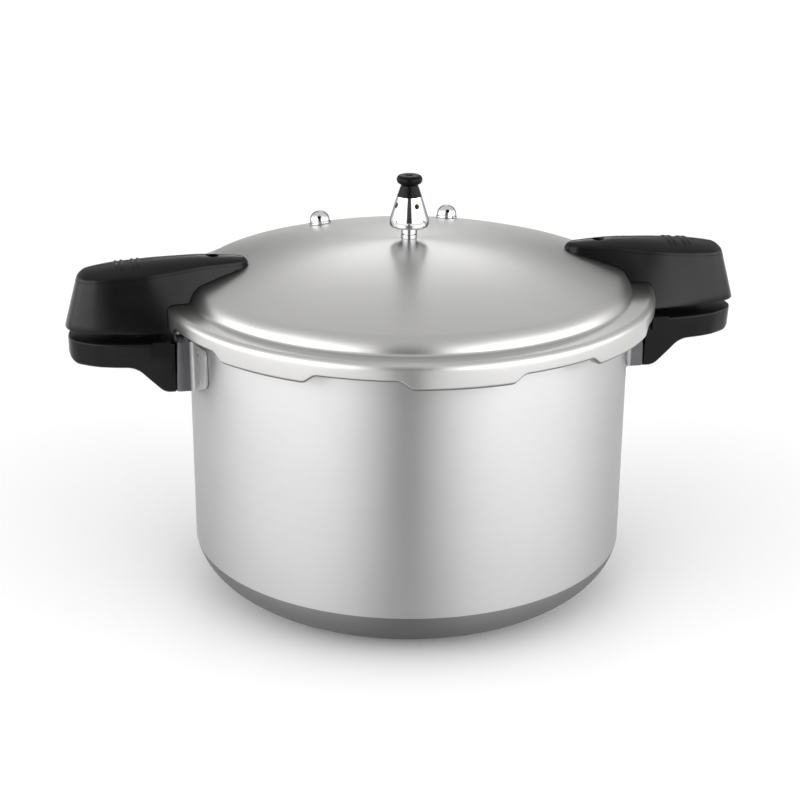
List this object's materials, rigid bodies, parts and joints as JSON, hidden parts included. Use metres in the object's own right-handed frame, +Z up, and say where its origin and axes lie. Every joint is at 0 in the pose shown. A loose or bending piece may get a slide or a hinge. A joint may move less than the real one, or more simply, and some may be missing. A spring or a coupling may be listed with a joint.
{
  "type": "pressure canner",
  "caption": "Large round bayonet-lid pressure canner with side grips on pot and lid, a weighted steam regulator and spring safety valves.",
  "frame": {"origin": "middle of the flat base, on the surface that the pot stands on", "axes": "+Z up along the pot's axis; X along the grips, with the interlock float under the grip at -X; the safety valves lie towards +Y"},
  "size_m": [0.494, 0.356, 0.3073],
  "materials": {
    "pot_aluminium": "satin brushed, fine lines around the axis",
    "lid_aluminium": "satin, fine lines around the axis",
    "rivet_aluminium": "dull",
    "bracket_steel": "zinc plated sheet",
    "screw_steel": "plain",
    "grip_black": "satin phenolic moulding",
    "knob_black": "gloss phenolic moulding",
    "chrome": "polished plate",
    "brass": "turned",
    "seal_rubber": "soft silicone"
  },
  "bodies": {
    "pot": {"pot_body": "pot_aluminium", "canning_rack": "rivet_aluminium", "left_pot_handle": "grip_black", "right_pot_handle": "grip_black", "left_pot_bracket": "bracket_steel", "right_pot_bracket": "bracket_steel", "pot_bracket_rivets": "rivet_aluminium", "pot_handle_screws": "screw_steel"},
    "lid": {"lid": "lid_aluminium", "sealing_gasket": "seal_rubber", "left_lid_handle": "grip_black", "right_lid_handle": "grip_black", "left_lid_bracket": "bracket_steel", "right_lid_bracket": "bracket_steel", "lid_bracket_rivets": "rivet_aluminium", "lid_handle_screws": "screw_steel", "right_nose_screw": "screw_steel", "vent_pipe": "chrome", "vent_pipe_gasket": "seal_rubber", "vent_pipe_nut": "brass", "anti_clog_cap": "chrome", "float_bush": "screw_steel", "left_relief_body": "chrome", "left_relief_cap": "chrome", "left_relief_spring": "screw_steel", "left_relief_gasket": "seal_rubber", "left_relief_nut": "brass", "right_relief_body": "chrome", "right_relief_cap": "chrome", "right_relief_spring": "screw_steel", "right_relief_gasket": "seal_rubber", "right_relief_nut": "brass"},
    "regulator": {"regulator_shell": "chrome", "regulator_knob": "knob_black", "regulator_weight": "brass", "regulator_screw": "screw_steel"},
    "float": {"float_pin": "brass", "float_seal": "seal_rubber"},
    "left_poppet": {"left_relief_poppet": "brass"},
    "right_poppet": {"right_relief_poppet": "brass"}
  },
  "joints": [
    {"name": "lid_turn", "type": "hinge", "parent": "pot", "child": "lid", "pos_m": [0, 0, 0.2165], "axis": [0, 0, 1], "range_deg": [0, 22.5]},
    {"name": "regulator_lift", "type": "slide", "parent": "lid", "child": "regulator", "axis": [0, 0, 1], "range_m": [0, 0.03]},
    {"name": "float_rise", "type": "slide", "parent": "lid", "child": "float", "axis": [-0.2754, 0, 0.9613], "range_m": [0, 0.004]},
    {"name": "left_relief_lift", "type": "slide", "parent": "lid", "child": "left_poppet", "axis": [-0.1038, 0.1798, 0.9782], "range_m": [0, 0.0015], "stiffness_N_per_m": 1500, "springref_m": -0.002, "deforming": ["left_relief_spring"]},
    {"name": "right_relief_lift", "type": "slide", "parent": "lid", "child": "right_poppet", "axis": [0.0942, 0.185, 0.9782], "range_m": [0, 0.0015], "stiffness_N_per_m": 1500, "springref_m": -0.002, "deforming": ["right_relief_spring"]}
  ]
}
